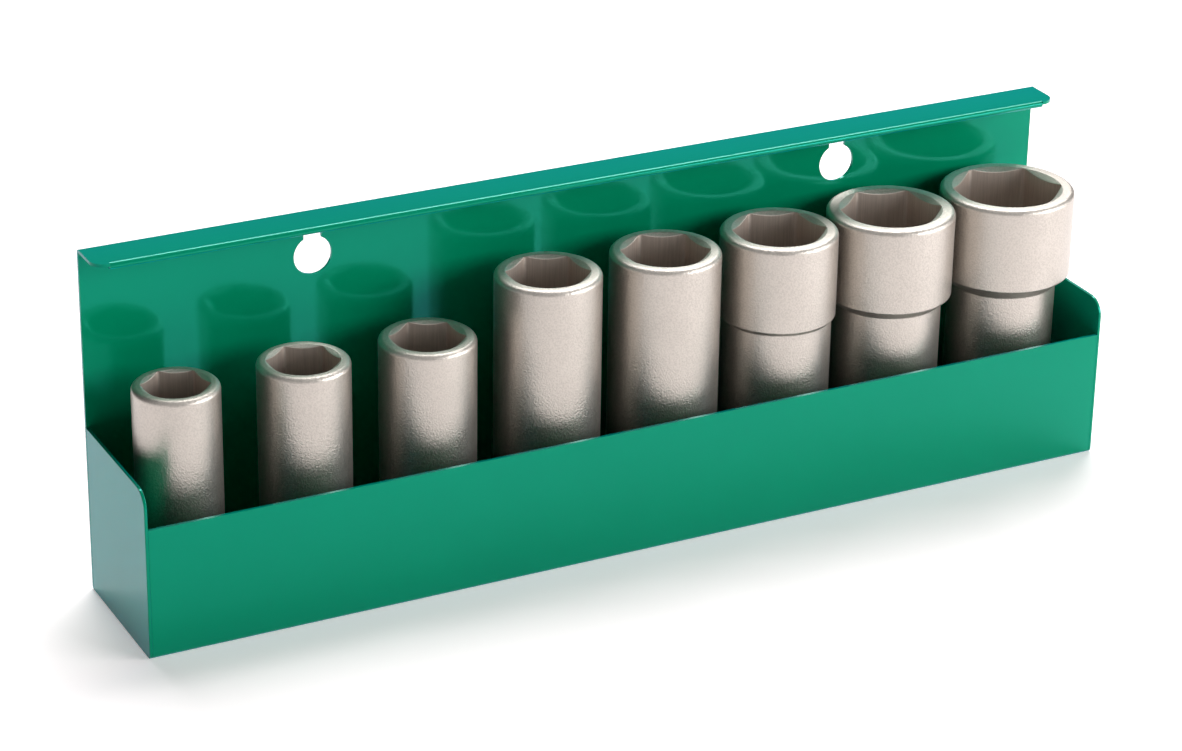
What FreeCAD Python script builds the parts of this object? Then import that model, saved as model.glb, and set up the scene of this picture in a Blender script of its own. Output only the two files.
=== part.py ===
import FreeCAD, Part

import math
import os

# A folded sheet-steel rack that holds a row of deep sockets upright and hangs on a wall by two keyholes.
# Frame: X along the rack, Y from the front panel (-Y) to the wall (+Y), Z up.
# Origin: middle of the footprint, on the underside. Millimetres.

V = FreeCAD.Vector
X_AXIS, Y_AXIS, Z_AXIS = V(1, 0, 0), V(0, 1, 0), V(0, 0, 1)

# ---- sheet metal -------------------------------------------------------------------------------
SHEET = 1.2                # thickness of every folded panel
BEND_INSIDE = 0.5          # inside radius of the folds
FRONT_HEIGHT = 51.5        # front panel above the underside
END_HEIGHT = 66.0          # end plates above the underside
END_CORNER_RADIUS = 7.0    # rounded upper front corner of an end plate
FLANGE_DEPTH = 18.0        # top flange, from the wall plane forwards
FLANGE_CORNER_RADIUS = 5.5
HEM_SETBACK = 6.0          # the hem stops this far short of the flange's ends
HEM_WIDTH = 9.0            # how far the hem is folded back under the flange
HEM_CREASE = 0.1           # slit left between the two layers of the hem

# ---- wall hanging ------------------------------------------------------------------------------
KEYHOLE_SPACING = 221.0
KEYHOLE_DROP = 18.0        # centre of the round part below the top
KEYHOLE_DIAMETER = 15.0    # passes the screw's head
KEYHOLE_SLOT_WIDTH = 7.0   # passes a 6 mm shank
KEYHOLE_SLOT_RISE = 9.5    # centre of the slot's round end above the round part's centre

# ---- sockets, smallest first: width across flats, mouth diameter, length, turn of the hexagon ----
SOCKETS = [
    (22.0, 32.0, 90.0, 39.0),
    (24.0, 34.5, 90.0, 38.0),
    (25.0, 36.5, 90.0, 36.0),
    (28.0, 40.5, 107.0, 37.0),
    (30.0, 42.5, 107.0, 37.0),
    (32.0, 45.5, 107.0, 40.0),
    (35.0, 50.0, 107.0, 41.0),
    (38.0, 52.8, 107.0, 40.0),
]
DRIVE_END_DIAMETER = 42.5  # widest that a socket is at its drive end
MOUTH_END_LENGTH = 34.0    # wide part of a stepped socket, above its cone
STEP_SLOPE = 42.0          # cone below the wide part, degrees from the plane of the socket's end
STEP_ROUND = 1.0           # rounding of the wide part's lower edge
RIM_ROUND = 2.0            # outer rounding of the mouth
FOOT_ROUND = 1.2           # outer rounding of the drive end
HEX_DEPTH = 42.0           # length of the hexagon, below it the bore is round
HEX_ABOVE_STEP = 4.0       # a stepped socket's hexagon ends this far above its step
HEX_CORNER_SHARE = 0.06    # corner relief radius, as a share of the width across flats
ENTRY_SLOPE = 30.0         # entry chamfers, degrees from the plane of the socket's end
BORE_OVER_FLATS = 0.6      # round bore over the width across flats
BORE_WALL = 4.5            # least wall around the round bore
SQUARE = 19.25             # opening for a 3/4 inch (19.05 mm) square drive
SQUARE_CORNER = 1.0
SQUARE_DEPTH = 26.0
SQUARE_TURN = 15.0         # a corner of the square from a corner of the hexagon, degrees
DETENT_HEIGHT = 11.5       # detent dimples above the drive end
DETENT_RADIUS = 3.2
DETENT_DEPTH = 1.1

# ---- how the sockets stand in the tray -----------------------------------------------------------
PITCH = 49.0               # posts' spacing wherever the mouths leave room for it
MOUTH_GAP = 1.7            # least gap between two neighbouring mouths
WALL_GAP = 2.4             # widest mouth to the front and back panels
LEFT_GAP = 7.05            # first mouth to the left end plate
RIGHT_GAP = 0.6            # last mouth to the right end plate
LIFT_ROOM = 25.3           # tallest socket to the underside of the hem

# ---- locating posts and their rivets --------------------------------------------------------------
POST_DIAMETER = 18.0
POST_HEIGHT = 20.0
POST_CHAMFER = 2.0
POST_CUP_DIAMETER = 10.0   # cup in the post's top that holds the rivet's formed head
POST_CUP_DEPTH = 11.0
RIVET_DIAMETER = 4.8
RIVET_HEAD_DIAMETER = 8.4
RIVET_HEAD_ANGLE = 120.0   # countersunk head, flush with the underside
RIVET_FORMED_DIAMETER = 8.4
RIVET_FORMED_TOP = 6.7     # the formed head's diameter at its top
RIVET_FORMED_HEIGHT = 2.2
RIVET_CLEARANCE = 0.1      # on the radius, in the floor and in the post

# ---- sizes that follow from these ------------------------------------------------------------------
BEND_OUTSIDE = BEND_INSIDE + SHEET
MOUTH_RADII = [mouth / 2 for _, mouth, _, _ in SOCKETS]
DEPTH = 2 * (max(MOUTH_RADII) + WALL_GAP + SHEET)
HEM_THICKNESS = 2 * SHEET + HEM_CREASE
BACK_HEIGHT = SHEET + max(length for _, _, length, _ in SOCKETS) + LIFT_ROOM + HEM_THICKNESS
KEYHOLE_HEIGHT = BACK_HEIGHT - KEYHOLE_DROP


def post_places():
    """X of each post from the left end: one pitch apart, or further where two wide mouths need it."""
    places = [SHEET + LEFT_GAP + MOUTH_RADII[0]]
    for left, right in zip(MOUTH_RADII, MOUTH_RADII[1:]):
        places.append(places[-1] + max(PITCH, left + MOUTH_GAP + right))
    return places


LENGTH = post_places()[-1] + MOUTH_RADII[-1] + RIGHT_GAP + SHEET
POST_X = [x - LENGTH / 2 for x in post_places()]
FRONT_Y, BACK_Y = -DEPTH / 2, DEPTH / 2
LEFT_X, RIGHT_X = -LENGTH / 2, LENGTH / 2
FLANGE_FRONT_Y = BACK_Y - FLANGE_DEPTH
RIVET_HEAD_RISE = math.tan(math.radians(90 - RIVET_HEAD_ANGLE / 2))
RIVET_HEAD_HEIGHT = (RIVET_HEAD_DIAMETER - RIVET_DIAMETER) / 2 * RIVET_HEAD_RISE
ENTRY_RISE = math.tan(math.radians(ENTRY_SLOPE))


# ---- shape helpers ---------------------------------------------------------------------------------
def box(x, y, z):
    """Box between the pairs of limits x, y and z."""
    return Part.makeBox(x[1] - x[0], y[1] - y[0], z[1] - z[0], V(x[0], y[0], z[0]))


def cylinder(radius, bottom, top, x=0.0, y=0.0):
    return Part.makeCylinder(radius, top - bottom, V(x, y, bottom))


def cone(radius_low, radius_high, bottom, top, x=0.0, y=0.0):
    return Part.makeCone(radius_low, radius_high, top - bottom, V(x, y, bottom))


class Outline:
    """A closed outline in one plane, drawn as straight runs and quarter-circle corners."""

    def __init__(self, to_space, start):
        self.to_space, self.at, self.first, self.edges = to_space, start, start, []

    def line(self, point):
        if math.dist(self.at, point) > 1e-6:
            self.edges.append(Part.LineSegment(self.to_space(*self.at), self.to_space(*point)).toShape())
            self.at = point
        return self

    def round(self, centre, point):
        """Shorter arc about centre, from where the outline is to point."""
        middle = [(a + b) / 2 - c for a, b, c in zip(self.at, point, centre)]
        reach = math.dist(self.at, centre) / math.hypot(*middle)
        through = [c + m * reach for c, m in zip(centre, middle)]
        ends = self.to_space(*self.at), self.to_space(*through), self.to_space(*point)
        self.edges.append(Part.Arc(*ends).toShape())
        self.at = point
        return self

    def face(self):
        self.line(self.first)
        return Part.Face(Part.Wire(self.edges))


def in_section(y, z):
    """Point of the rack's cross-section, at its left end."""
    return V(LEFT_X, y, z)


def in_radius(radius, z):
    return V(radius, 0, z)


def rounded_prism(corners, radius, bottom, top):
    """Upright prism on a polygon with filleted upright edges."""
    points = [V(x, y, bottom) for x, y in corners]
    prism = Part.Face(Part.makePolygon(points + points[:1])).extrude(V(0, 0, top - bottom))
    upright = [e for e in prism.Edges if abs(e.Vertexes[0].Z - e.Vertexes[-1].Z) > (top - bottom) / 2]
    return prism.makeFillet(radius, upright)


def polygon(sides, across_flats, turn):
    """Corners of a regular polygon about the origin, the first one at the angle turn."""
    reach = across_flats / 2 / math.cos(math.pi / sides)
    angles = [math.radians(turn + 360.0 * k / sides) for k in range(sides)]
    return [(reach * math.cos(a), reach * math.sin(a)) for a in angles]


# ---- folded rack -----------------------------------------------------------------------------------
def section(inset, radius, front_height, flange_front):
    """Front panel, floor, back panel and flange as one path: the sheet's outer or inner face."""
    front, back = FRONT_Y + inset, BACK_Y - inset
    bottom, top = inset, BACK_HEIGHT - inset
    return [
        ("line", (front, front_height)),
        ("line", (front, bottom + radius)),
        ("round", (front + radius, bottom + radius), (front + radius, bottom)),
        ("line", (back - radius, bottom)),
        ("round", (back - radius, bottom + radius), (back, bottom + radius)),
        ("line", (back, top - radius)),
        ("round", (back - radius, top - radius), (back - radius, top)),
        ("line", (flange_front, top)),
    ]


def walk(outline, path, backwards=False):
    """Draw a path with the outline, from its first point or from its last."""
    if not backwards:
        for step in path:
            getattr(outline, step[0])(*step[1:])
        return
    ends = [step[-1] for step in path]
    outline.line(ends[-1])
    for step, end in zip(reversed(path), reversed(ends[:-1])):
        outline.line(end) if step[0] == "line" else outline.round(step[1], end)


def channel():
    """Front panel, floor, back panel and flange, the whole length of the rack."""
    outside = section(0.0, BEND_OUTSIDE, FRONT_HEIGHT, FLANGE_FRONT_Y)
    inside = section(SHEET, BEND_INSIDE, FRONT_HEIGHT, FLANGE_FRONT_Y)
    outline = Outline(in_section, (FRONT_Y, FRONT_HEIGHT))
    walk(outline, outside)
    walk(outline, inside, backwards=True)
    return outline.face().extrude(V(LENGTH, 0, 0))


def flange_trim(side):
    """What is cut off the flange to round one of its front corners."""
    radius, end = FLANGE_CORNER_RADIUS, side * LENGTH / 2
    height = (BACK_HEIGHT - SHEET, BACK_HEIGHT)
    centre_x, centre_y = end - side * radius, FLANGE_FRONT_Y + radius
    block = box(sorted((centre_x, end)), (FLANGE_FRONT_Y, centre_y), height)
    return block.cut(cylinder(radius, *height, centre_x, centre_y))


def hem():
    """Front edge of the flange folded back underneath it."""
    start_x = LEFT_X + HEM_SETBACK
    fold_radius = HEM_THICKNESS / 2
    fold = FLANGE_FRONT_Y + fold_radius, BACK_HEIGHT - fold_radius

    def at_start(y, z):
        return V(start_x, y, z)

    back_y = FLANGE_FRONT_Y + HEM_WIDTH
    top, bottom = BACK_HEIGHT, BACK_HEIGHT - HEM_THICKNESS
    outline = Outline(at_start, (back_y, top))
    outline.line((fold[0], top))
    outline.round(fold, (FLANGE_FRONT_Y, fold[1]))
    outline.round(fold, (fold[0], bottom))
    outline.line((back_y, bottom)).line((back_y, bottom + SHEET)).line((fold[0], bottom + SHEET))
    outline.round(fold, (fold[0] - HEM_CREASE / 2, fold[1]))
    outline.round(fold, (fold[0], top - SHEET))
    outline.line((back_y, top - SHEET))
    return outline.face().extrude(V(LENGTH - 2 * HEM_SETBACK, 0, 0))


def keyhole(x):
    """Cutter for one keyhole through the back panel."""
    start, depth = BACK_Y - 2 * SHEET, 3 * SHEET
    top = KEYHOLE_HEIGHT + KEYHOLE_SLOT_RISE
    entry = Part.makeCylinder(KEYHOLE_DIAMETER / 2, depth, V(x, start, KEYHOLE_HEIGHT), Y_AXIS)
    end = Part.makeCylinder(KEYHOLE_SLOT_WIDTH / 2, depth, V(x, start, top), Y_AXIS)
    half = KEYHOLE_SLOT_WIDTH / 2
    slot = box((x - half, x + half), (start, start + depth), (KEYHOLE_HEIGHT, top))
    return entry.fuse([slot, end])


def floor_hole(x):
    """Countersunk hole for a post's rivet."""
    radius = RIVET_DIAMETER / 2 + RIVET_CLEARANCE
    head = RIVET_HEAD_DIAMETER / 2 + RIVET_CLEARANCE
    return cone(head, radius, 0.0, RIVET_HEAD_HEIGHT, x).fuse(cylinder(radius, 0.0, SHEET, x))


def plate_room(side):
    """What an end plate takes out of the folded sheet."""
    x = sorted((side * (LENGTH / 2 - SHEET), side * LENGTH / 2))
    return box(x, (FRONT_Y, BACK_Y - SHEET), (0.0, END_HEIGHT))


def front_panel():
    """Front of the folded sheet with its lower fold, between the end plates."""
    fold = (FRONT_Y, FRONT_Y + BEND_OUTSIDE)
    panel = channel().common(box((LEFT_X, RIGHT_X), fold, (0.0, FRONT_HEIGHT)))
    return panel.cut([plate_room(-1), plate_room(1)]).removeSplitter()


def floor_panel():
    """Flat floor between the two lower folds, with a hole for each rivet."""
    panel = box((LEFT_X, RIGHT_X), (FRONT_Y + BEND_OUTSIDE, BACK_Y - BEND_OUTSIDE), (0.0, SHEET))
    holes = [floor_hole(x) for x in POST_X]
    return panel.cut([plate_room(-1), plate_room(1)] + holes).removeSplitter()


def back_panel():
    """Back of the folded sheet with its lower and upper folds and the keyholes."""
    panel = channel().common(box((LEFT_X, RIGHT_X), (BACK_Y - BEND_OUTSIDE, BACK_Y), (0.0, BACK_HEIGHT)))
    holes = [keyhole(side * KEYHOLE_SPACING / 2) for side in (-1, 1)]
    return panel.cut([plate_room(-1), plate_room(1)] + holes).removeSplitter()


def top_flange():
    """Flange that leans forwards from the back panel, its front edge hemmed."""
    height = (BACK_HEIGHT - SHEET, BACK_HEIGHT)
    panel = box((LEFT_X, RIGHT_X), (FLANGE_FRONT_Y, BACK_Y - BEND_OUTSIDE), height)
    hem_x = (LEFT_X + HEM_SETBACK, RIGHT_X - HEM_SETBACK)
    folded = box(hem_x, (FLANGE_FRONT_Y, FLANGE_FRONT_Y + HEM_THICKNESS / 2), height)
    return panel.cut([flange_trim(-1), flange_trim(1), folded]).fuse(hem()).removeSplitter()


def end_plate(side):
    """Flat plate flush with the front panel's face; its lower front corner follows the fold."""
    x = sorted((side * (LENGTH / 2 - SHEET), side * LENGTH / 2))
    back, radius = BACK_Y - SHEET, END_CORNER_RADIUS

    def at_side(y, z):
        return V(x[0], y, z)

    outline = Outline(at_side, (FRONT_Y, BEND_OUTSIDE))
    outline.line((FRONT_Y, END_HEIGHT - radius))
    outline.round((FRONT_Y + radius, END_HEIGHT - radius), (FRONT_Y + radius, END_HEIGHT))
    outline.line((back, END_HEIGHT)).line((back, 0.0)).line((FRONT_Y + BEND_OUTSIDE, 0.0))
    outline.round((FRONT_Y + BEND_OUTSIDE, BEND_OUTSIDE), (FRONT_Y, BEND_OUTSIDE))
    return outline.face().extrude(V(SHEET, 0, 0))


# ---- posts and rivets ------------------------------------------------------------------------------
def post(x):
    """Turned post that a socket's square drive drops over."""
    bottom, top = SHEET, SHEET + POST_HEIGHT
    radius = POST_DIAMETER / 2
    body = cylinder(radius, bottom, top - POST_CHAMFER, x)
    body = body.fuse(cone(radius, radius - POST_CHAMFER, top - POST_CHAMFER, top, x))
    hole = cylinder(RIVET_DIAMETER / 2 + RIVET_CLEARANCE, bottom, top, x)
    cup = cylinder(POST_CUP_DIAMETER / 2, top - POST_CUP_DEPTH, top, x)
    return body.cut([hole, cup]).removeSplitter()


def rivet(x):
    """Countersunk rivet from the underside up into the post's cup."""
    seat = SHEET + POST_HEIGHT - POST_CUP_DEPTH
    radius, formed = RIVET_DIAMETER / 2, RIVET_FORMED_DIAMETER / 2
    head = cone(RIVET_HEAD_DIAMETER / 2, radius, 0.0, RIVET_HEAD_HEIGHT, x)
    shank = cylinder(radius, 0.0, seat + RIVET_FORMED_HEIGHT / 2, x)
    upset = cone(formed, RIVET_FORMED_TOP / 2, seat, seat + RIVET_FORMED_HEIGHT, x)
    return head.fuse([shank, upset]).removeSplitter()


# ---- sockets ---------------------------------------------------------------------------------------
def socket_blank(mouth_radius, length):
    """Turned outside of a socket, standing on its drive end at the origin."""
    foot_radius = min(mouth_radius, DRIVE_END_DIAMETER / 2)
    step = mouth_radius - foot_radius
    outline = Outline(in_radius, (0.0, 0.0))
    outline.line((foot_radius - FOOT_ROUND, 0.0))
    outline.round((foot_radius - FOOT_ROUND, FOOT_ROUND), (foot_radius, FOOT_ROUND))
    if step > 0:
        corner, slope = length - MOUTH_END_LENGTH, math.radians(STEP_SLOPE)
        centre = mouth_radius - STEP_ROUND, corner + STEP_ROUND * math.tan(math.pi / 4 - slope / 2)
        outline.line((foot_radius, corner - step * math.tan(slope)))
        outline.line((centre[0] + STEP_ROUND * math.sin(slope), centre[1] - STEP_ROUND * math.cos(slope)))
        outline.round(centre, (mouth_radius, centre[1]))
    outline.line((mouth_radius, length - RIM_ROUND))
    outline.round((mouth_radius - RIM_ROUND, length - RIM_ROUND), (mouth_radius - RIM_ROUND, length))
    outline.line((0.0, length))
    return outline.face().revolve(V(0, 0, 0), Z_AXIS, 360)


def hexagon_bottom(mouth, length):
    """Height at which the hexagon ends and the round bore begins."""
    if mouth > DRIVE_END_DIAMETER:
        return length - MOUTH_END_LENGTH + HEX_ABOVE_STEP
    return length - HEX_DEPTH


def corner_reach(sides, across_flats, rounding):
    """Distance from a polygon's centre to the middle of one of its rounded corners."""
    stretch = 1 / math.cos(math.pi / sides)
    return across_flats / 2 * stretch - rounding * (stretch - 1)


def hexagon_cut(flats, mouth, length, turn):
    """Hexagon with relieved corners and the chamfer that leads into it."""
    relief = HEX_CORNER_SHARE * flats
    hexagon = rounded_prism(polygon(6, flats, turn), relief, hexagon_bottom(mouth, length), length)
    reach = corner_reach(6, flats, relief)
    entry = cone(0.0, reach, length - reach * ENTRY_RISE, length)
    return hexagon.fuse(entry)


def drive_cut(flats, mouth, length, turn):
    """Square for the ratchet with its chamfer and dimples, and the bore that joins it to the hexagon."""
    turn += SQUARE_TURN
    square = rounded_prism(polygon(4, SQUARE, turn), SQUARE_CORNER, 0.0, SQUARE_DEPTH)
    reach = corner_reach(4, SQUARE, SQUARE_CORNER)
    entry = cone(reach, 0.0, 0.0, reach * ENTRY_RISE)
    bore_radius = min(flats + BORE_OVER_FLATS, min(mouth, DRIVE_END_DIAMETER) - 2 * BORE_WALL) / 2
    bore = cylinder(bore_radius, SQUARE_DEPTH, hexagon_bottom(mouth, length))
    centre = SQUARE / 2 + DETENT_DEPTH - DETENT_RADIUS
    angles = [math.radians(turn + 45.0 + 90.0 * k) for k in range(4)]
    dimples = [
        Part.makeSphere(DETENT_RADIUS, V(centre * math.cos(a), centre * math.sin(a), DETENT_HEIGHT))
        for a in angles
    ]
    return [square, entry, bore] + dimples


def socket(index):
    flats, mouth, length, turn = SOCKETS[index]
    shape = socket_blank(mouth / 2, length)
    shape = shape.cut(hexagon_cut(flats, mouth, length, turn))
    for cutter in drive_cut(flats, mouth, length, turn):
        shape = shape.cut(cutter)
    shape.translate(V(POST_X[index], 0, SHEET))
    return shape


# ---- all pieces ------------------------------------------------------------------------------------
def pieces():
    made = {
        "front_panel": front_panel(),
        "floor_panel": floor_panel(),
        "back_panel": back_panel(),
        "top_flange": top_flange(),
        "end_plate_left": end_plate(-1),
        "end_plate_right": end_plate(1),
        "post_rivets": Part.makeCompound([rivet(x) for x in POST_X]),
    }
    for index, x in enumerate(POST_X):
        made[f"socket_post_{index + 1}"] = post(x)
        made[f"deep_socket_{index + 1}"] = socket(index)
    return made


os.makedirs("parts", exist_ok=True)
for name, shape in pieces().items():
    shape.exportStep(f"parts/{name}.step")
    print(name, "solids", len(shape.Solids), "valid", shape.isValid(), "mm3", round(shape.Volume, 1))
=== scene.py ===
import math

import bmesh
import bpy
import numpy as np
from bpy.props import CollectionProperty, FloatProperty, FloatVectorProperty, PointerProperty
from mathutils import Matrix, Vector
from mathutils.geometry import delaunay_2d_cdt


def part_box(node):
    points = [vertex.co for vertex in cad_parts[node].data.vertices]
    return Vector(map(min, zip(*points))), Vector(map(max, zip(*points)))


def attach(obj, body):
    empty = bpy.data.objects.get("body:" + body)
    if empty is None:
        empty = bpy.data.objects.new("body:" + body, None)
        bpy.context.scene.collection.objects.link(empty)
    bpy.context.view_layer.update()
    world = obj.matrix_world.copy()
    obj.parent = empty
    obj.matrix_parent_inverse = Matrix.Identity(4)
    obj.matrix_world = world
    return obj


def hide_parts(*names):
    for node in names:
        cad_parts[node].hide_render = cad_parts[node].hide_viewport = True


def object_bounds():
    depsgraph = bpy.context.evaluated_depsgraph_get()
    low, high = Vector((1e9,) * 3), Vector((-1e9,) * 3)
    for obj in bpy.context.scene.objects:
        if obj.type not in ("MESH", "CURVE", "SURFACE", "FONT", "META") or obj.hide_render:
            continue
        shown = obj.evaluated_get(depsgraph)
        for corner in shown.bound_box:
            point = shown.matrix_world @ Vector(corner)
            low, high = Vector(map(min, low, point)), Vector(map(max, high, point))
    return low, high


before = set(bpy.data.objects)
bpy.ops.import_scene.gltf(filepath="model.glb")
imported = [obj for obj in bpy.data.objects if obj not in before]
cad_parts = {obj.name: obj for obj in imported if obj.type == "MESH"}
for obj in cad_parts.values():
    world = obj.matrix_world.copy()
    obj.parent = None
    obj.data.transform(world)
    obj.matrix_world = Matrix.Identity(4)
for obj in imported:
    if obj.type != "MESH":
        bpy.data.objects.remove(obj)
cad_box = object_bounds()

bl_info = {
    "name": "Socket rack",
    "version": (1, 0, 0),
    "blender": (4, 5, 0),
    "location": "View3D > Sidebar > Socket rack",
    "description": "Dresses a folded steel rack of deep sockets and lights it on a pale floor",
    "category": "Object",
}

MM = 0.001
SHEET_NODES = ("front_panel", "floor_panel", "back_panel", "top_flange")
SOCKET_COUNT = sum(name.startswith("deep_socket_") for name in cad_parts)

# Stations of the sheet's section: one at the front panel's top edge, FOLD_STEPS in each of the three
# folds, and one at the flange's front edge. Named are the first station of the second and of the third
# fold, and the last one.
FOLD_STEPS = 13
LOWER_BACK_FOLD = 1 + FOLD_STEPS
UPPER_BACK_FOLD = LOWER_BACK_FOLD + FOLD_STEPS
FLANGE_FRONT = UPPER_BACK_FOLD + FOLD_STEPS

RIM_STEPS = 11  # stations of the rounding at a socket's mouth
ROUND_STEPS = 7  # stations of a socket's other roundings
DRIVE_FACE_STATIONS = 3  # last stations of a socket, across the face of its drive end
CONE_SLOPE = math.tan(math.radians(30.0))  # rise over run of the cones into the hexagon and the square
HEX_ROUNDING = 0.06  # corner radius of a hexagon over its width across flats
BORE_CLEARANCE = 0.6  # the round bore is this much wider than the hexagon's flats, mm
SQUARE_TURN = 15.0  # the square's turn against the hexagon, degrees
END_FACE_ROUGHNESS = 0.15  # what the harder blasting of the end faces adds to the chrome's roughness


# ---- colour and nodes ------------------------------------------------------------------------------
def colour(code):
    """Linear colour of an sRGB hex code such as "008A60"."""
    srgb = [int(code[k:k + 2], 16) / 255 for k in (0, 2, 4)]
    return [c / 12.92 if c <= 0.04045 else ((c + 0.055) / 1.055) ** 2.4 for c in srgb]


def add(tree, kind, inputs=None, **settings):
    """Adds one node. inputs maps a socket's name or number to a value or to another node's output."""
    node = tree.nodes.new(kind)
    for name, value in settings.items():
        setattr(node, name, value)
    for key, value in (inputs or {}).items():
        if isinstance(value, bpy.types.NodeSocket):
            tree.links.new(value, node.inputs[key])
        else:
            node.inputs[key].default_value = value
    return node


def blank_material(name):
    """New material and its empty node tree."""
    material = bpy.data.materials.new(name)
    material.use_nodes = True
    material.node_tree.nodes.clear()
    return material, material.node_tree


def patterned_material(name):
    """New material, its node tree and the object coordinates that its patterns lie in."""
    material, tree = blank_material(name)
    return material, tree, add(tree, "ShaderNodeTexCoord").outputs["Object"]


def shade(tree, factor, stops):
    """Grey levels from two stops, each a factor and its level."""
    node = add(tree, "ShaderNodeValToRGB", {0: factor})
    for point, (place, level) in zip(node.color_ramp.elements, stops):
        point.position = place
        point.color = (level, level, level, 1.0)
    return node.outputs["Color"]


def multiply(tree, first, second):
    """One colour times another."""
    return add(tree, "ShaderNodeMix", {"Factor": 1.0, "A": first, "B": second},
               data_type="RGBA", blend_type="MULTIPLY").outputs["Result"]


def surface(tree, inputs):
    """Ends a material with one Principled shader."""
    shader = add(tree, "ShaderNodeBsdfPrincipled", inputs)
    add(tree, "ShaderNodeOutputMaterial", {"Surface": shader.outputs[0]})


def noise(tree, place, size_mm, detail=2.0, roughness=0.5):
    """Noise whose features are about size_mm across."""
    return add(tree, "ShaderNodeTexNoise", {
        "Vector": place, "Scale": 1000.0 / size_mm, "Detail": detail, "Roughness": roughness,
    }).outputs["Fac"]


# ---- meshes ----------------------------------------------------------------------------------------
def new_object(name, points_mm, faces, material):
    """Object at the origin with its place in its mesh."""
    mesh = bpy.data.meshes.new(name)
    mesh.from_pydata((np.asarray(points_mm, float) * MM).tolist(), [], faces)
    mesh.materials.append(material)
    mesh.shade_smooth()
    thing = bpy.data.objects.new(name, mesh)
    bpy.context.scene.collection.objects.link(thing)
    return thing


def grid_faces(rows, columns, closed=False):
    """Quads of a grid of points kept row by row. They face outwards when rows rise and columns turn
    left. A closed grid joins its last row and its last column to the first ones."""
    row = np.arange(rows if closed else rows - 1)
    column = np.arange(columns if closed else columns - 1)
    r, c = (g.ravel() for g in np.meshgrid(row, column, indexing="ij"))
    low, high = r * columns, (r + 1) % rows * columns
    c_next = (c + 1) % columns
    return np.stack([low + c, low + c_next, high + c_next, high + c], 1).tolist()


def weld(thing, distance_mm=0.002):
    """Merges points that lie together."""
    shape = bmesh.new()
    shape.from_mesh(thing.data)
    bmesh.ops.remove_doubles(shape, verts=shape.verts, dist=distance_mm * MM)
    shape.to_mesh(thing.data)
    shape.free()


def arc(start, end, radius, centre, steps):
    """Points on a circle, from the angle start to the angle end, in degrees."""
    angle = np.radians(np.linspace(start, end, steps))
    return np.stack([centre[0] + radius * np.cos(angle), centre[1] + radius * np.sin(angle)], 1)


def sheet_metal(thing, thickness_mm, edge_mm):
    """Gives a skin its thickness, inwards, and rounds its cut edges as a paint film does."""
    solid = thing.modifiers.new("Thickness", "SOLIDIFY")
    solid.thickness = thickness_mm * MM
    solid.offset = -1.0
    solid.use_even_offset = True
    edge = thing.modifiers.new("Painted edges", "BEVEL")
    edge.width = edge_mm * MM
    edge.segments = 3
    edge.limit_method = "ANGLE"
    edge.angle_limit = math.radians(50)
    edge.harden_normals = True


# ---- settings --------------------------------------------------------------------------------------
def length(name, description, default):
    """A size in millimetres."""
    return FloatProperty(name=name, description=description + ", mm", default=default, min=0.0,
                         precision=2)


def paint(name, description, code):
    """A colour, given as an sRGB hex code."""
    return FloatVectorProperty(name=name, description=description, subtype="COLOR", size=3,
                               default=colour(code), min=0.0, max=1.0)


class RackSizes(bpy.types.PropertyGroup):
    """Sizes of the folded sheet and its end plates"""

    sheet: length("Sheet", "Thickness of the folded sheet", 1.2)
    fold: length("Fold", "Outer radius of the folds", 1.7)
    front: length("Front height", "Front panel above the underside", 51.5)
    end_height: length("End height", "End plates above the underside", 66.0)
    end_corner: length("End corner", "Radius of an end plate's upper front corner", 7.0)
    flange: length("Flange", "Depth of the top flange", 18.0)
    flange_corner: length("Flange corner", "Radius of the flange's front corners", 5.5)
    hem_setback: length("Hem setback", "The hem stops this far short of the flange's ends", 6.0)
    hem_width: length("Hem width", "How far the hem is folded back", 9.0)
    hem_crease: length("Hem crease", "Slit between the hem's two layers", 0.1)
    keyhole_spacing: length("Keyhole spacing", "Between the two keyholes", 221.0)
    keyhole_height: length("Keyhole height", "Round part above the underside", 118.0)
    keyhole: length("Keyhole", "Diameter of the round part", 15.0)
    slot: length("Slot", "Width of the keyhole's slot", 7.0)
    slot_rise: length("Slot rise", "Slot's round end above the round part", 9.5)
    edge: length("Edge", "Rounding of the painted cut edges", 0.3)


class RackColours(bpy.types.PropertyGroup):
    """Base colours of the finishes"""

    enamel: paint("Enamel", "Green enamel of the sheet", "008A60")
    chrome: paint("Satin chrome", "Plated sockets", "C8C1B9")
    broached: paint("Broached steel", "Inside of the hexagons", "D4C7BD")
    zinc: paint("Zinc", "Posts and rivets", "BFC1C3")


class SocketSize(bpy.types.PropertyGroup):
    """What differs from socket to socket"""

    flats: length("Flats", "Width across flats", 22.0)
    mouth: length("Mouth", "Diameter at the mouth", 32.0)
    height: length("Length", "Length of the socket", 90.0)
    turn: FloatProperty(name="Turn", description="Turn of the hexagon", default=0.0, subtype="ANGLE")


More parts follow.
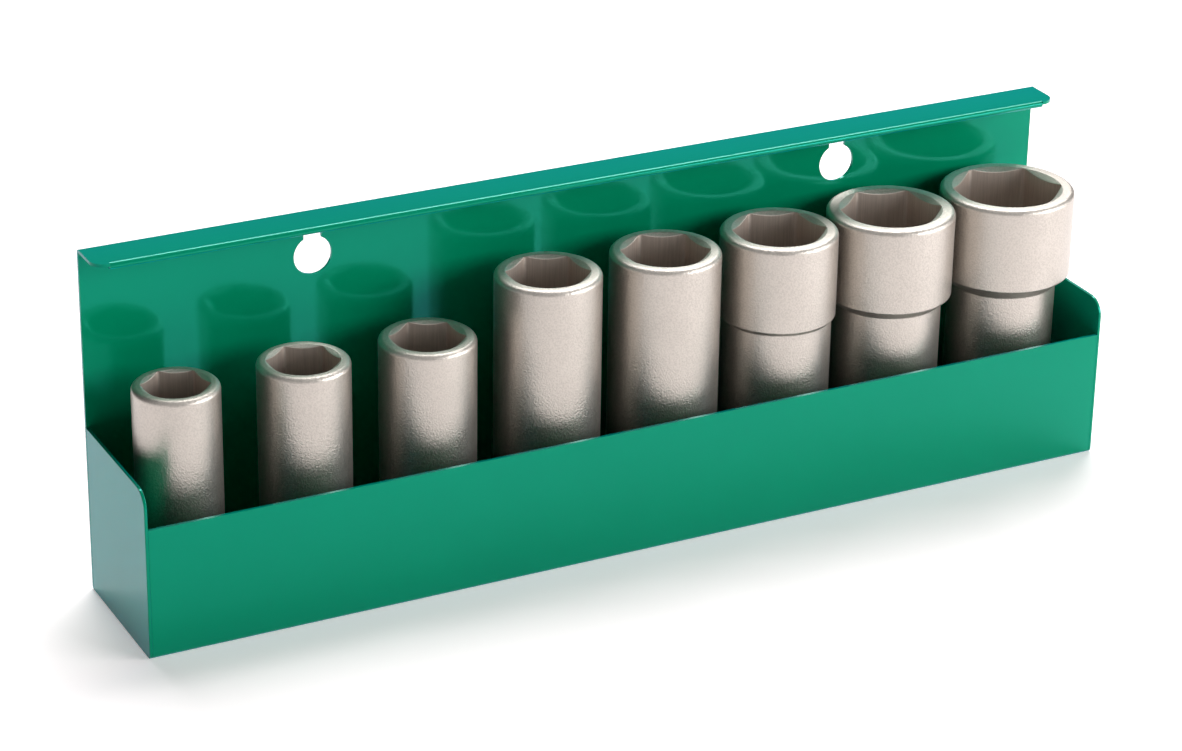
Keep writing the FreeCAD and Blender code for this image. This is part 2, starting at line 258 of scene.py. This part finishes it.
class SocketShared(bpy.types.PropertyGroup):
    """What all sockets share"""

    drive_end: length("Drive end", "Widest diameter at the drive end", 42.5)
    mouth_end: length("Mouth end", "Length of a stepped socket's wide part", 34.0)
    step_round: length("Step rounding", "Rounding of the wide part's lower edge", 1.0)
    step_slope: FloatProperty(name="Step slope", subtype="ANGLE", default=math.radians(42.0),
                              description="Cone below the wide part, from the plane of its end")
    rim_round: length("Rim rounding", "Outer rounding of the mouth", 2.0)
    foot_round: length("Foot rounding", "Outer rounding of the drive end", 1.2)
    hex_depth: length("Hexagon depth", "Length of the hexagon", 42.0)
    hex_above_step: length("Hexagon above step", "A stepped socket's hexagon ends here, above its step",
                           4.0)
    square: length("Square", "Opening for the square drive", 19.25)
    square_corner: length("Square corner", "Corner radius of the square", 1.0)
    square_depth: length("Square depth", "Depth of the square", 26.0)
    bore_wall: length("Bore wall", "Least wall around the round bore", 4.5)
    detent_height: length("Detent height", "Dimples above the drive end", 11.5)
    detent_radius: length("Detent radius", "Ball radius of the dimples", 3.2)
    detent_depth: length("Detent depth", "Depth of the dimples", 1.1)
    crease: length("Crease", "Softness of the machined edges", 0.22)


class StageSettings(bpy.types.PropertyGroup):
    """Floor and camera"""

    floor: paint("Floor", "Pale floor", "F8F2F3")
    lens: FloatProperty(name="Lens", description="Focal length", default=111.3, unit="CAMERA")
    place: FloatVectorProperty(name="Camera place", description="Where the camera stands", size=3,
                               default=(-0.581, -1.111, 0.640), subtype="TRANSLATION", unit="LENGTH")
    heading: FloatProperty(name="Heading", description="Camera's turn from straight ahead",
                           subtype="ANGLE", default=math.radians(27.19))
    tilt: FloatProperty(name="Tilt", description="Camera's look down", subtype="ANGLE",
                        default=math.radians(24.83))
    roll: FloatProperty(name="Roll", description="Camera's roll", subtype="ANGLE",
                        default=math.radians(0.96))


# ---- materials -------------------------------------------------------------------------------------
def gloss_enamel():
    """Stoved gloss enamel on sheet steel: an even green under a hard film that mirrors what stands near
    it. Orange peel about 1.6 mm across and waves of 30 mm bend its reflections a little. A low glance
    finds a blue-green bloom."""
    material, tree, place = patterned_material("gloss_enamel_green")
    base = bpy.context.scene.rack_colours.enamel
    peel = noise(tree, place, 1.6, 1.0)
    waves = noise(tree, place, 30.0, 1.0)
    cloud = shade(tree, noise(tree, place, 45.0, 3.0), [(0.3, 0.94), (0.7, 1.0)])
    peel_bump = add(tree, "ShaderNodeBump", {"Height": peel, "Strength": 0.12, "Distance": 0.02 * MM})
    bump = add(tree, "ShaderNodeBump", {
        "Height": waves, "Strength": 0.5, "Distance": 0.05 * MM, "Normal": peel_bump.outputs[0],
    })
    surface(tree, {
        "Base Color": multiply(tree, (*base, 1.0), cloud),
        "Roughness": 0.1, "IOR": 1.7, "Specular Tint": (0.05, 0.85, 0.8, 1.0),
        "Sheen Weight": 1.0, "Sheen Roughness": 0.35, "Sheen Tint": (0.0, 0.5, 1.0, 1.0),
        "Normal": bump.outputs[0],
    })
    return material


def satin_chrome():
    """Satin chrome plate over blasted steel: a warm grey metal with a dull cast, as part of the light
    goes astray in the blasting's pits. The pits are about 0.2 mm across and drawn 0.7 mm wide so that
    they show. They scatter reflections, and each is a little darker than the metal around it. End faces
    are blasted the hardest."""
    material, tree, place = patterned_material("satin_chrome_plate")
    base = bpy.context.scene.rack_colours.chrome
    grain = noise(tree, place, 0.7, 1.5, 0.6)
    cloud = shade(tree, noise(tree, place, 14.0, 3.0), [(0.3, 0.95), (0.7, 1.0)])
    pits = shade(tree, grain, [(0.35, 0.86), (0.6, 1.0)])
    rough = add(tree, "ShaderNodeMapRange", {"Value": grain, "To Min": 0.28, "To Max": 0.44})
    end_face = add(tree, "ShaderNodeAttribute", attribute_name="end_face").outputs["Fac"]
    rough = add(tree, "ShaderNodeMath", {0: end_face, 1: END_FACE_ROUGHNESS, 2: rough.outputs[0]},
                operation="MULTIPLY_ADD")
    bump = add(tree, "ShaderNodeBump", {"Height": grain, "Strength": 1.0, "Distance": 0.14 * MM})
    surface(tree, {
        "Base Color": multiply(tree, (*base, 1.0), multiply(tree, cloud, pits)),
        "Metallic": 0.9, "Roughness": rough.outputs[0], "Normal": bump.outputs[0],
    })
    return material


def broached_steel():
    """Broached hexagon with a thin plate in it: browner and duller than the outside, with upright drag
    lines. Real ones are about 0.2 mm apart. They are drawn 0.6 mm apart so that they show."""
    material, tree, place = patterned_material("broached_steel")
    base = bpy.context.scene.rack_colours.broached
    upright = add(tree, "ShaderNodeMapping", {"Vector": place, "Scale": (1.0, 1.0, 0.03)}).outputs[0]
    drag = noise(tree, upright, 0.6, 3.0, 0.6)
    tone = shade(tree, drag, [(0.3, 0.8), (0.7, 1.0)])
    bump = add(tree, "ShaderNodeBump", {"Height": drag, "Strength": 0.3, "Distance": 0.02 * MM})
    surface(tree, {
        "Base Color": multiply(tree, (*base, 1.0), tone),
        "Metallic": 1.0, "Roughness": 0.5, "Normal": bump.outputs[0],
    })
    return material


def bright_zinc():
    """Zinc plate on turned steel: a cool bright metal with turning marks about 0.5 mm apart and a faint
    spangle."""
    material, tree, place = patterned_material("bright_zinc_plate")
    base = bpy.context.scene.rack_colours.zinc
    turned = add(tree, "ShaderNodeMapping", {"Vector": place, "Scale": (0.05, 0.05, 1.0)}).outputs[0]
    marks = noise(tree, turned, 0.5, 2.0)
    spangle = shade(tree, noise(tree, place, 3.0, 2.0), [(0.3, 0.88), (0.7, 1.0)])
    bump = add(tree, "ShaderNodeBump", {"Height": marks, "Strength": 0.3, "Distance": 0.02 * MM})
    surface(tree, {
        "Base Color": multiply(tree, (*base, 1.0), spangle),
        "Metallic": 1.0, "Roughness": 0.3, "Normal": bump.outputs[0],
    })
    return material


def dress(name, material):
    """Gives a CAD node one material."""
    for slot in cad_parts[name].material_slots:
        slot.material = material


# ---- folded sheet ----------------------------------------------------------------------------------
def rack_limits():
    """Left, right, front, back and top of the rack in millimetres, from the CAD box."""
    low, high = (np.array(corner) / MM for corner in cad_box)
    return low[0], high[0], low[1], high[1], high[2]


def sheet_stations(size):
    """The rack's section, walked along its outer face from the front panel's top edge to the flange's
    front. Straight runs are joined by quarter circles of the fold's radius. Returns, for all stations,
    the distance walked, y and z."""
    _, _, front, back, top = rack_limits()
    fold = size.fold
    runs = [
        np.array([[front, size.front]]),
        arc(180, 270, fold, (front + fold, fold), FOLD_STEPS),
        arc(270, 360, fold, (back - fold, fold), FOLD_STEPS),
        arc(0, 90, fold, (back - fold, top - fold), FOLD_STEPS),
        np.array([[back - size.flange, top]]),
    ]
    points = np.concatenate(runs)
    steps = np.hypot(*np.diff(points, axis=0).T)
    return np.concatenate([[0.0], np.cumsum(steps)]), points[:, 0], points[:, 1]


def blank_outline(size):
    """Right side of the flat blank as (x, distance walked), from the front panel's top edge to the
    flange's front. It runs between the end plates up to the back panel, then at full width, and rounds
    the flange's corner."""
    walked, y, _ = sheet_stations(size)
    _, right, _, back, _ = rack_limits()
    fold, corner = size.fold, size.flange_corner
    inner, step_y = right - size.sheet, back - size.sheet
    step_at = walked[LOWER_BACK_FOLD] + fold * math.asin((step_y - back + fold) / fold)
    side = [(inner, s) for s, yy in zip(walked[:UPPER_BACK_FOLD], y) if yy < step_y]
    side += [(inner, step_at), (right, step_at)]
    side += [(right, s) for s, yy in zip(walked[:FLANGE_FRONT], y)
             if yy >= step_y or s >= walked[UPPER_BACK_FOLD]]
    start = walked[FLANGE_FRONT] - corner
    turn = np.radians(np.linspace(0, 90, FOLD_STEPS))
    side += list(zip(right - corner + corner * np.cos(turn), start + corner * np.sin(turn)))
    return np.array(side)


def keyhole_outline(size, x):
    """Outline of one keyhole as (x, z): a circle whose top opens into a slot with a round end."""
    radius, half = size.keyhole / 2, size.slot / 2
    meet = math.degrees(math.acos(half / radius))
    round_part = arc(180 - meet, 360 + meet, radius, (x, size.keyhole_height), 49)
    end = arc(0, 180, half, (x, size.keyhole_height + size.slot_rise), 21)
    return np.concatenate([round_part, end])


def folded_skin(size):
    """Outer skin of the folded sheet, without the strip that the hem covers. The flat blank is cut into
    triangles in (x, distance walked) with every station as a line, and each point is then carried to
    its place on the section. Returns the points, the faces and the hem's reach in x."""
    _, right, *_ = rack_limits()
    walked, y, z = sheet_stations(size)
    side = blank_outline(size)
    outline = np.concatenate([side, side[::-1] * (-1, 1)])
    foot = UPPER_BACK_FOLD - 1  # where the back panel's flat starts
    up_back = walked[foot] - z[foot]
    holes = [keyhole_outline(size, s * size.keyhole_spacing / 2) + (0, up_back) for s in (-1, 1)]
    points = [tuple(p) for p in outline]
    edges = [(k, (k + 1) % len(points)) for k in range(len(points))]
    for hole in holes:
        first = len(points)
        points += [tuple(p) for p in hole]
        edges += [(first + k, first + (k + 1) % len(hole)) for k in range(len(hole))]

    # every station becomes a line from side to side
    at = {round(s, 6): k for k, (_, s) in enumerate(side)}
    for s in walked[1:-1]:
        k = at[round(s, 6)]
        edges.append((k, len(outline) - 1 - k))

    # the strip that the hem takes over
    end = walked[FLANGE_FRONT]
    hem_x, hem_line = right - size.hem_setback, end - (size.sheet + size.hem_crease / 2)
    first = len(points)
    points += [(-hem_x, hem_line), (hem_x, hem_line), (hem_x, end), (-hem_x, end)]
    edges += [(first, first + 1), (first + 1, first + 2), (first + 3, first)]

    made, _, faces, *_ = delaunay_2d_cdt([Vector(p) for p in points], edges, [], 0, 1e-5)
    flat = np.array([tuple(p) for p in made])
    faces = np.array(faces, int)
    middle = flat[faces].mean(1)
    keep = inside(middle, outline)
    for hole in holes:
        keep &= ~inside(middle, hole)
    keep &= ~((abs(middle[:, 0]) < hem_x) & (middle[:, 1] > hem_line))
    faces = faces[keep]
    turned = np.cross(flat[faces[:, 1]] - flat[faces[:, 0]], flat[faces[:, 2]] - flat[faces[:, 0]]) > 0
    faces[turned] = faces[turned][:, ::-1]
    x, s = flat.T
    place = np.stack([x, np.interp(s, walked, y), np.interp(s, walked, z)], 1)
    return place, faces.tolist(), hem_x


def inside(points, outline):
    """Which points lie inside a closed outline, by counting the outline's crossings to their right."""
    a, b = outline, np.roll(outline, -1, 0)
    x, y = points[:, :1], points[:, 1:]
    crosses = (a[:, 1] > y) != (b[:, 1] > y)
    rise = np.where(b[:, 1] == a[:, 1], 1.0, b[:, 1] - a[:, 1])
    at = a[:, 0] + (y - a[:, 1]) / rise * (b[:, 0] - a[:, 0])
    return (crosses & (x < at)).sum(1) % 2 == 1


def hem_skin(size, hem_x):
    """The hem as a strip across x: the flange's front edge, walked round a half circle and back
    underneath."""
    _, _, _, back, top = rack_limits()
    radius = size.sheet + size.hem_crease / 2
    front = back - size.flange
    path = np.concatenate([
        arc(90, 270, radius, (front + radius, top - radius), 17),
        [[front + size.hem_width, top - 2 * radius]],
    ])
    x = np.array([-hem_x, hem_x])
    grid = np.stack([np.tile(x, len(path)), np.repeat(path[:, 0], 2), np.repeat(path[:, 1], 2)], 1)
    return grid, [face[::-1] for face in grid_faces(len(path), 2)]


def add_folded_sheet(material):
    """Front panel, floor, back panel and flange as the one sheet that they are, with its hem."""
    size = bpy.context.scene.rack_sizes
    points, faces, hem_x = folded_skin(size)
    hem_points, hem_faces = hem_skin(size, hem_x)
    faces += [[k + len(points) for k in face] for face in hem_faces]
    thing = new_object("folded_sheet", np.concatenate([points, hem_points]), faces, material)
    weld(thing)
    sheet_metal(thing, size.sheet, size.edge)
    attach(thing, "rack")
    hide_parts(*SHEET_NODES)


def add_end_plate(side, material):
    """Flat end plate, drawn in (y, z), with rounded front corners. The lower one follows the folds."""
    size = bpy.context.scene.rack_sizes
    _, right, front, back, _ = rack_limits()
    name = "end_plate_left" if side < 0 else "end_plate_right"
    rear, corner, fold = back - size.sheet, size.end_corner, size.fold
    outline = np.concatenate([
        [[rear, 0.0], [rear, size.end_height]],
        arc(90, 180, corner, (front + corner, size.end_height - corner), FOLD_STEPS),
        arc(180, 270, fold, (front + fold, fold), FOLD_STEPS),
    ])
    points = np.column_stack([np.full(len(outline), side * right), outline])
    order = list(range(len(outline)))
    thing = new_object(name + "_painted", points, [order if side > 0 else order[::-1]], material)
    sheet_metal(thing, size.sheet, size.edge)
    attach(thing, "rack")
    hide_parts(name)


# ---- sockets ---------------------------------------------------------------------------------------
def polygon_reach(angle, sides, flats, rounding, turn):
    """Distance from a regular polygon's centre to its edge at each angle. Along a flat it is half the
    width across flats over the cosine of the angle from the flat's middle. At a corner it is the far
    crossing of the ray with the rounding circle."""
    wedge = math.pi / sides
    from_corner = (angle - turn + wedge) % (2 * wedge) - wedge
    from_flat = wedge - abs(from_corner)
    centre = (flats / 2 - rounding) / math.cos(wedge)
    tangent = math.atan((flats / 2 - rounding) * math.tan(wedge) / (flats / 2))
    inner = np.clip(rounding ** 2 - (centre * np.sin(from_corner)) ** 2, 0, None)
    rounded = centre * np.cos(from_corner) + np.sqrt(inner)
    return np.where(from_flat > tangent, rounded, flats / 2 / np.cos(from_flat))


def socket_angles(turn):
    """Angles around a socket, closer together at the corners of its hexagon and of its square."""
    even = np.arange(0, 360, 2.0)
    near = np.linspace(-4.5, 4.5, 10)
    hexagon = (np.arange(6)[:, None] * 60 + near).ravel()
    square = (np.arange(4)[:, None] * 90 + SQUARE_TURN + near).ravel()
    angles = np.sort(np.round(np.concatenate([even, hexagon, square]) % 360, 3))
    gaps = np.diff(np.append(angles, angles[0] + 360))
    least_gap = 0.4  # degrees
    return np.radians(angles[gaps > least_gap]) + turn


def socket_outside(shared, mouth, height):
    """Profile of a socket's outside as (radius, height), from the drive end up to the mouth: straight
    runs, rounded ends, and a cone where the mouth is wider than the drive end. The stations 0.1 and
    0.5 mm beside an edge keep the runs' shading straight."""
    foot = min(mouth, shared.drive_end) / 2
    wide, step = mouth / 2, mouth / 2 - foot
    r_foot, r_rim = shared.foot_round, shared.rim_round
    runs = [arc(270, 360, r_foot, (foot - r_foot, r_foot), ROUND_STEPS)]
    if step > 0:
        slope, r_step = shared.step_slope, shared.step_round
        corner = height - shared.mouth_end
        low = corner - step * math.tan(slope)
        centre = wide - r_step, corner + r_step * math.tan(math.pi / 4 - slope / 2)
        runs += [[[foot, low - 0.5], [foot, low - 0.1], [foot + 0.1, low + 0.1 * math.tan(slope)]],
                 arc(270 + math.degrees(slope), 360, r_step, centre, ROUND_STEPS)]
    runs += [[[wide, height - r_rim - 0.5]],
             arc(0, 90, r_rim, (wide - r_rim, height - r_rim), RIM_STEPS)]
    return np.concatenate(runs)


def socket_surface(shared, one):
    """A socket as one closed surface over (angle, station). Stations climb the outside, cross the rim,
    go down the entry cone to where it meets the hexagon, down the hexagon, the round bore and the
    square, and back across the drive end. Radius and height at each station are functions of the angle.
    The entry cone meets a flat where its radius equals the hexagon's, which draws the scallops. The
    stations at fractions of the crease bend the surface softly over its edges. Returns angle, radius,
    height, the station where the rim's rounding ends and the one where the hexagon's wall starts."""
    angle = socket_angles(one.turn)
    soft = shared.crease
    foot = min(one.mouth, shared.drive_end)
    hexagon = polygon_reach(angle, 6, one.flats, HEX_ROUNDING * one.flats, one.turn)
    square_turn = one.turn + math.radians(SQUARE_TURN)
    square = polygon_reach(angle, 4, shared.square, shared.square_corner, square_turn)
    hex_end = one.height - shared.hex_depth
    if one.mouth > shared.drive_end:
        hex_end = one.height - shared.mouth_end + shared.hex_above_step
    bore = min(one.flats + BORE_CLEARANCE, foot - 2 * shared.bore_wall) / 2
    radius, height = [], []

    def station(r, z):
        radius.append(np.broadcast_to(np.asarray(r, float), angle.shape))
        height.append(np.broadcast_to(np.asarray(z, float), angle.shape))

    for r, z in socket_outside(shared, one.mouth, one.height):
        station(r, z)
    rim = len(radius)

    # mouth and entry cone
    reach = hexagon.max()
    crease = one.height - (reach - hexagon) * CONE_SLOPE
    station(reach + soft, one.height)
    station(reach + 0.3 * soft, one.height - 0.1 * soft)
    run = np.clip(reach - hexagon, 0, None)
    for share in (0.08, 0.35, 0.65, 0.92):
        station(reach - run * share, one.height - run * share * CONE_SLOPE - 0.25 * soft)
    first = len(radius)

    # hexagon, the ledge below it and the round bore
    station(hexagon + 0.1 * soft * (run > 0), crease - 0.35 * soft)
    station(hexagon, crease - 1.2 * soft)
    for share in (0.25, 0.5, 0.75, 0.985, 1.0):
        station(hexagon, crease - 1.2 * soft + (hex_end - crease + 1.2 * soft) * share)
    for share in (0.05, 0.5, 0.95, 1.0):
        station(hexagon + (bore - hexagon) * share, hex_end)
    station(bore, hex_end - 0.5)
    station(bore, shared.square_depth + 0.5)

    # ledge, square with its detents, and the cone out of it
    for share in (0.0, 0.05, 0.95, 1.0):
        station(bore + (square - bore) * share, shared.square_depth)
    mouth_square = square.max()
    entry = (mouth_square - square) * CONE_SLOPE
    for z in np.concatenate([[shared.square_depth - 0.4], np.arange(17.0, 6.0, -0.5)]):
        station(square + dimple(shared, angle - one.turn, square, z), z)
    station(square, entry + 0.5)
    station(square, entry + 0.1)
    for share in (0.1, 0.5, 0.9):
        station(square + (mouth_square - square) * share, entry * (1 - share))

    # face of the drive end
    station(mouth_square + 0.1, 0.0)
    station(foot / 2 - shared.foot_round - 0.3, 0.0)
    return angle, np.array(radius), np.array(height), rim, first


def dimple(shared, angle, square, z):
    """How much a detent's ball adds to the square's reach at height z: the ball's surface beyond the
    flat."""
    across = (angle - math.radians(SQUARE_TURN)) % (math.pi / 2) - math.pi / 4
    along = square * np.sin(across)
    away = along ** 2 + (z - shared.detent_height) ** 2
    ball = shared.detent_radius
    depth = np.sqrt(np.clip(ball ** 2 - away, 0, None)) - (ball - shared.detent_depth)
    return np.clip(depth, 0, None) / np.cos(across)


def add_socket(index, chrome, broached):
    """One socket in its CAD node's place: chrome outside and across the drive end, broached steel
    inside."""
    scene = bpy.context.scene
    shared, one = scene.socket_shared, scene.socket_sizes[index]
    name = f"deep_socket_{index + 1}"
    low, high = (np.array(corner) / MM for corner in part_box(name))
    centre = (low + high) / 2
    angle, radius, height, rim, first = socket_surface(shared, one)
    x = centre[0] + radius * np.cos(angle)
    y = centre[1] + radius * np.sin(angle)
    points = np.stack([x, y, low[2] + height], 2).reshape(-1, 3)
    rows, columns = radius.shape
    thing = new_object(name + "_plated", points, grid_faces(rows, columns, closed=True), chrome)
    thing.data.materials.append(broached)
    kind = np.zeros((rows, columns), int)
    kind[first:] = 1
    kind[-DRIVE_FACE_STATIONS:] = 0
    thing.data.polygons.foreach_set("material_index", kind.ravel())
    end_face = np.zeros(rows)
    end_face[rim - RIM_STEPS:rim] = np.linspace(0, 1, RIM_STEPS)
    end_face[rim:first] = 1
    marks = thing.data.attributes.new("end_face", "FLOAT", "POINT")
    marks.data.foreach_set("value", np.repeat(end_face, columns))
    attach(thing, f"socket_{index + 1}")
    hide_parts(name)


# ---- stage -----------------------------------------------------------------------------------------
FLOOR_REACH = 6000.0  # half the floor's side, mm
LAMP_AIM = (0.0, 0.0, 0.05)  # metres
SOFTBOXES = [  # name, place and size in metres, power in watts
    ("back_softbox", (0.9, 1.9, 3.0), (3.0, 2.2), 185.0),
    ("front_softbox", (1.5, -1.5, 0.7), (1.4, 1.0), 35.0),
    ("right_softbox", (1.7, -0.8, 0.7), (0.9, 1.2), 7.0),
]


def pale_floor(settings):
    """Matt paper: a plain pale surface that keeps the object's soft shadow. The camera and mirroring
    surfaces see it lifted a little towards white."""
    material, tree = blank_material("paper_floor")
    ray = add(tree, "ShaderNodeLightPath")
    matt = add(tree, "ShaderNodeBsdfDiffuse", {"Color": (*settings.floor, 1.0)})
    lift = add(tree, "ShaderNodeEmission", {"Color": (1, 1, 1, 1), "Strength": 0.3})
    both = add(tree, "ShaderNodeAddShader", {0: matt.outputs[0], 1: lift.outputs[0]})
    looks = add(tree, "ShaderNodeMath", {
        0: ray.outputs["Is Camera Ray"], 1: ray.outputs["Is Glossy Ray"],
    }, operation="MAXIMUM")
    seen = add(tree, "ShaderNodeMixShader", {
        0: looks.outputs[0], 1: matt.outputs[0], 2: both.outputs[0],
    })
    add(tree, "ShaderNodeOutputMaterial", {"Surface": seen.outputs[0]})
    return material


def soft_lamp(name, place, aim, size, power):
    """Rectangular softbox at place, turned towards aim. Metres and watts."""
    lamp = bpy.data.lights.new(name, "AREA")
    lamp.shape = "RECTANGLE"
    lamp.size, lamp.size_y = size
    lamp.energy = power
    thing = bpy.data.objects.new(name, lamp)
    thing.location = place
    thing.rotation_euler = (Vector(aim) - Vector(place)).to_track_quat("-Z", "Y").to_euler()
    bpy.context.scene.collection.objects.link(thing)


def add_world():
    """Studio surround: white to the camera, dim as a light, and pale in mirroring surfaces that look
    towards the front. That paleness fades out sideways and isn't there behind the object."""
    world = bpy.data.worlds.new("studio_surround")
    world.use_nodes = True
    tree = world.node_tree
    tree.nodes.clear()
    ray = add(tree, "ShaderNodeLightPath")
    toward = add(tree, "ShaderNodeTexCoord").outputs["Generated"]
    depth = add(tree, "ShaderNodeSeparateXYZ", {0: toward}).outputs["Y"]
    in_front = add(tree, "ShaderNodeMapRange", {
        "Value": depth, "From Min": -0.1, "From Max": 0.35, "To Min": 0.55, "To Max": 0.0,
    })
    mirrored = add(tree, "ShaderNodeMath", {0: ray.outputs["Is Glossy Ray"], 1: in_front.outputs[0]},
                   operation="MULTIPLY")
    looks = add(tree, "ShaderNodeMath", {0: ray.outputs["Is Camera Ray"], 1: mirrored.outputs[0]},
                operation="MAXIMUM")
    seen = add(tree, "ShaderNodeBackground", {"Color": (1, 1, 1, 1), "Strength": 1.0})
    around = add(tree, "ShaderNodeBackground", {"Color": (1, 1, 1, 1), "Strength": 0.05})
    both = add(tree, "ShaderNodeMixShader", {
        0: looks.outputs[0], 1: around.outputs[0], 2: seen.outputs[0],
    })
    add(tree, "ShaderNodeOutputWorld", {"Surface": both.outputs[0]})
    bpy.context.scene.world = world


def add_camera(settings):
    """Camera that looks along its heading and tilt, then rolls about its own axis."""
    heading, tilt, roll = settings.heading, settings.tilt, settings.roll
    level_part = math.cos(tilt)
    ahead = Vector((math.sin(heading) * level_part, math.cos(heading) * level_part, -math.sin(tilt)))
    level = Vector((math.cos(heading), -math.sin(heading), 0.0))
    upright = level.cross(ahead)
    right = math.cos(roll) * level + math.sin(roll) * upright
    up = math.cos(roll) * upright - math.sin(roll) * level
    camera = bpy.data.cameras.new("camera")
    camera.lens = settings.lens
    camera.sensor_width = 36.0
    camera.clip_start, camera.clip_end = 0.05, 50.0
    thing = bpy.data.objects.new("camera", camera)
    turned = Matrix((right, up, -ahead)).transposed().to_4x4()
    thing.matrix_world = Matrix.Translation(settings.place) @ turned
    bpy.context.scene.collection.objects.link(thing)
    bpy.context.scene.camera = thing


# ---- operators -------------------------------------------------------------------------------------
class SOCKETRACK_OT_sheet(bpy.types.Operator):
    """Builds the painted folded sheet and its end plates"""

    bl_idname = "socketrack.sheet"
    bl_label = "Painted sheet"

    def execute(self, context):
        enamel = gloss_enamel()
        add_folded_sheet(enamel)
        for side in (-1, 1):
            add_end_plate(side, enamel)
        return {"FINISHED"}


class SOCKETRACK_OT_posts(bpy.types.Operator):
    """Plates the locating posts and their rivets"""

    bl_idname = "socketrack.posts"
    bl_label = "Posts and rivets"

    def execute(self, context):
        zinc = bright_zinc()
        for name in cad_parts:
            if name.startswith("socket_post_") or name == "post_rivets":
                dress(name, zinc)
        return {"FINISHED"}


class SOCKETRACK_OT_sockets(bpy.types.Operator):
    """Builds the deep sockets"""

    bl_idname = "socketrack.sockets"
    bl_label = "Deep sockets"

    def execute(self, context):
        chrome, broached = satin_chrome(), broached_steel()
        for index in range(SOCKET_COUNT):
            add_socket(index, chrome, broached)
        return {"FINISHED"}


class SOCKETRACK_OT_stage(bpy.types.Operator):
    """Adds the floor, the lamps, the surround and the camera"""

    bl_idname = "socketrack.stage"
    bl_label = "Stage"

    def execute(self, context):
        settings = context.scene.stage_settings
        reach = FLOOR_REACH
        corners = [(-reach, -reach, 0), (reach, -reach, 0), (reach, reach, 0), (-reach, reach, 0)]
        new_object("floor", corners, [(0, 1, 2, 3)], pale_floor(settings))
        for name, place, size, power in SOFTBOXES:
            soft_lamp(name, place, LAMP_AIM, size, power)
        add_world()
        add_camera(settings)
        context.scene.view_settings.view_transform = "Standard"
        return {"FINISHED"}


class SOCKETRACK_PT_panel(bpy.types.Panel):
    bl_idname = "SOCKETRACK_PT_panel"
    bl_label = "Socket rack"
    bl_space_type = "VIEW_3D"
    bl_region_type = "UI"
    bl_category = "Socket rack"

    def draw(self, context):
        for operator in OPERATORS:
            self.layout.operator(operator.bl_idname)
        for name in SETTINGS:
            group = getattr(context.scene, name)
            for key in group.__annotations__:
                self.layout.prop(group, key)


SETTINGS = {
    "rack_sizes": RackSizes, "rack_colours": RackColours, "socket_shared": SocketShared,
    "stage_settings": StageSettings,
}
OPERATORS = (SOCKETRACK_OT_sheet, SOCKETRACK_OT_posts, SOCKETRACK_OT_sockets, SOCKETRACK_OT_stage)
CLASSES = (*SETTINGS.values(), SocketSize, *OPERATORS, SOCKETRACK_PT_panel)
SOCKETS = [  # width across flats, mouth diameter and length in mm, turn of the hexagon in degrees
    (22.0, 32.0, 90.0, 39.0),
    (24.0, 34.5, 90.0, 38.0),
    (25.0, 36.5, 90.0, 36.0),
    (28.0, 40.5, 107.0, 37.0),
    (30.0, 42.5, 107.0, 37.0),
    (32.0, 45.5, 107.0, 40.0),
    (35.0, 50.0, 107.0, 41.0),
    (38.0, 52.8, 107.0, 40.0),
]


def register():
    for kind in CLASSES:
        bpy.utils.register_class(kind)
    for name, group in SETTINGS.items():
        setattr(bpy.types.Scene, name, PointerProperty(type=group))
    bpy.types.Scene.socket_sizes = CollectionProperty(type=SocketSize)


def unregister():
    del bpy.types.Scene.socket_sizes
    for name in SETTINGS:
        delattr(bpy.types.Scene, name)
    for kind in reversed(CLASSES):
        bpy.utils.unregister_class(kind)


def main():
    """Builds everything with its default settings."""
    register()
    for flats, mouth, height, turn in SOCKETS:
        one = bpy.context.scene.socket_sizes.add()
        one.flats, one.mouth, one.height, one.turn = flats, mouth, height, math.radians(turn)
    bpy.ops.socketrack.sheet()
    bpy.ops.socketrack.posts()
    bpy.ops.socketrack.sockets()
    bpy.ops.socketrack.stage()


if __name__ == "__main__":
    main()
